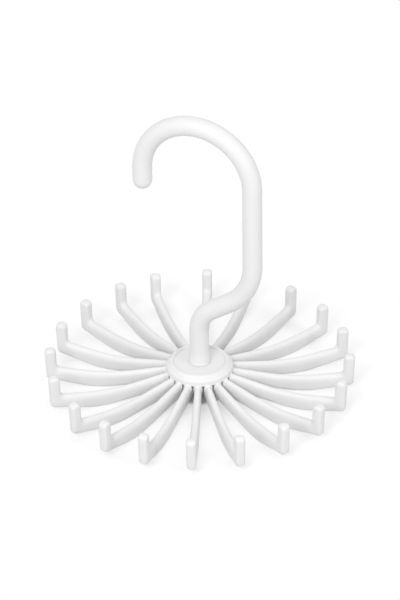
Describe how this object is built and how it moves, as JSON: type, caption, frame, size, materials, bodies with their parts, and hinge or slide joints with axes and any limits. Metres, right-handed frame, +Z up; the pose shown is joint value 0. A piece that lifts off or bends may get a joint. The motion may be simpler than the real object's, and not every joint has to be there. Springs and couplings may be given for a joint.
{
  "type": "tie hanger",
  "caption": "Rotating tie rack: slim arms with upturned pegs fan out round a hub, under a swivelling closet-rod hook.",
  "frame": {"origin": "on the swivel axis, on the surface that the feet of the arms stand on", "axes": "+Z up along the swivel axis; the hook lies in the XZ plane with its straight side towards +X"},
  "size_m": [0.1284, 0.1283, 0.1288],
  "materials": {
    "rack_plastic": "satin",
    "hook_plastic": "satin",
    "zinc_steel": "zinc plated"
  },
  "bodies": {
    "rack": {"hub": "rack_plastic", "collar": "rack_plastic", "arm_01": "rack_plastic", "arm_02": "rack_plastic", "arm_03": "rack_plastic", "arm_04": "rack_plastic", "arm_05": "rack_plastic", "arm_06": "rack_plastic", "arm_07": "rack_plastic", "arm_08": "rack_plastic", "arm_09": "rack_plastic", "arm_10": "rack_plastic", "arm_11": "rack_plastic", "arm_12": "rack_plastic", "arm_13": "rack_plastic", "arm_14": "rack_plastic", "arm_15": "rack_plastic", "arm_16": "rack_plastic", "arm_17": "rack_plastic", "arm_18": "rack_plastic", "arm_19": "rack_plastic", "arm_20": "rack_plastic"},
    "hook": {"hook": "hook_plastic", "retaining_washer": "zinc_steel", "retaining_screw": "zinc_steel"}
  },
  "joints": [
    {"name": "hook_swivel", "type": "hinge", "parent": "rack", "child": "hook", "pos_m": [0, 0, 0.0058], "axis": [0, 0, 1], "continuous": true}
  ]
}
